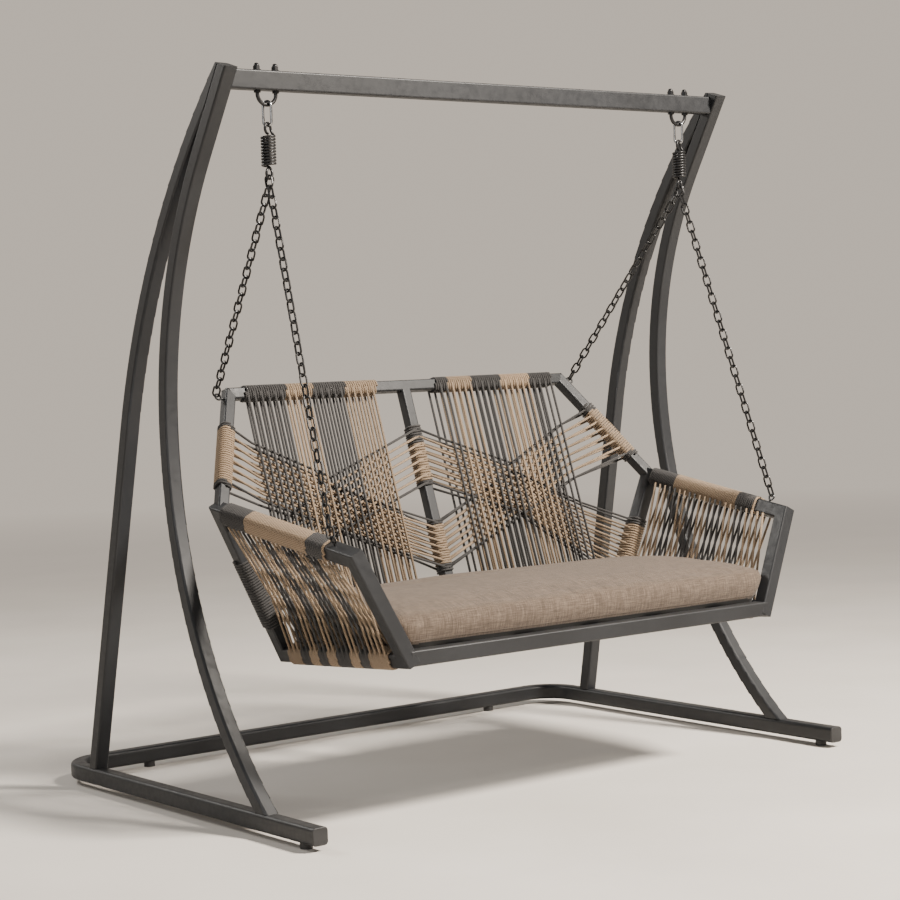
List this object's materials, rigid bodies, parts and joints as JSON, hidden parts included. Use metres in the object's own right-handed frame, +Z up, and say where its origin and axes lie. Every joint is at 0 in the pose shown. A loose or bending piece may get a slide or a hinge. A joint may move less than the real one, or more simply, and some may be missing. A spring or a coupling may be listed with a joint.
{
  "type": "swing chair",
  "caption": "Two-seat garden swing: woven cord bench with a loose seat cushion, hung by chains and springs from a leaning tubular stand with a U-shaped base.",
  "frame": {"origin": "on the floor under the middle of the swing's overall box", "axes": "+Z up, -Y towards the open front of the seat, +X to the right seen from the front"},
  "size_m": [1.871, 1.3106, 1.94],
  "materials": {
    "anthracite_frame": "fine satin powder coat",
    "black_steel": "black coated steel",
    "zinc_steel": "bright zinc plate",
    "black_plastic": "moulded plastic",
    "beige_cord": "round braided outdoor cord",
    "dark_cord": "round braided outdoor cord",
    "cushion_fabric": "plain woven taupe fabric"
  },
  "bodies": {
    "stand": {"base_end_caps": "black_plastic", "base_rail_left": "anthracite_frame", "base_rail_right": "anthracite_frame", "base_rear_tube": "anthracite_frame", "foot_glides": "black_plastic", "front_post_left": "anthracite_frame", "front_post_right": "anthracite_frame", "post_top_caps": "anthracite_frame", "rear_post_left": "anthracite_frame", "rear_post_right": "anthracite_frame", "top_beam": "anthracite_frame", "u_bolt_dome_nuts": "black_steel", "u_bolt_left": "black_steel", "u_bolt_lock_nuts": "black_steel", "u_bolt_right": "black_steel", "u_bolt_washers": "black_steel"},
    "hanger": {"gate_pins": "zinc_steel", "snap_hook_left": "zinc_steel", "snap_hook_right": "zinc_steel", "spring_left": "black_steel", "spring_right": "black_steel"},
    "gate_left": {"hook_gate_left": "zinc_steel"},
    "gate_right": {"hook_gate_right": "zinc_steel"},
    "seat": {"arm_front_leg_left": "anthracite_frame", "arm_front_leg_right": "anthracite_frame", "arm_left": "anthracite_frame", "arm_right": "anthracite_frame", "arm_wraps_beige": "beige_cord", "arm_wraps_dark": "dark_cord", "back_centre_post": "anthracite_frame", "back_cords_beige": "beige_cord", "back_cords_dark": "dark_cord", "back_post_left": "anthracite_frame", "back_post_right": "anthracite_frame", "back_top_rail": "anthracite_frame", "chain_eyes": "black_steel", "chain_front_left": "black_steel", "chain_front_right": "black_steel", "chain_rear_left": "black_steel", "chain_rear_right": "black_steel", "cross_cords_lower": "beige_cord", "cross_cords_upper": "beige_cord", "seat_cushion": "cushion_fabric", "seat_front_rail": "anthracite_frame", "seat_rear_rail": "anthracite_frame", "seat_side_rail_left": "anthracite_frame", "seat_side_rail_right": "anthracite_frame", "seat_slats": "anthracite_frame", "side_cords_beige": "beige_cord", "side_cords_dark": "dark_cord", "side_rear_leg_left": "anthracite_frame", "side_rear_leg_right": "anthracite_frame"}
  },
  "joints": [
    {"name": "swing", "type": "hinge", "parent": "stand", "child": "hanger", "pos_m": [0, -0.24099, 1.834], "axis": [1, 0, 0], "range_deg": [-25, 25]},
    {"name": "spring_stretch", "type": "slide", "parent": "hanger", "child": "seat", "axis": [0, 0, 1], "range_m": [-0.04, 0], "stiffness_N_per_m": 30000, "springref_m": 0.025, "deforming": ["spring_left", "spring_right"]},
    {"name": "gate_left_open", "type": "hinge", "parent": "hanger", "child": "gate_left", "pos_m": [-0.73207, -0.23011, 1.7996], "axis": [0.9063, 0.4226, 0], "range_deg": [0, 18], "stiffness_Nm_per_rad": 0.01, "springref_deg": -20.05},
    {"name": "gate_right_open", "type": "hinge", "parent": "hanger", "child": "gate_right", "pos_m": [0.72193, -0.23011, 1.7996], "axis": [0.9063, 0.4226, 0], "range_deg": [0, 18], "stiffness_Nm_per_rad": 0.01, "springref_deg": -20.05}
  ]
}
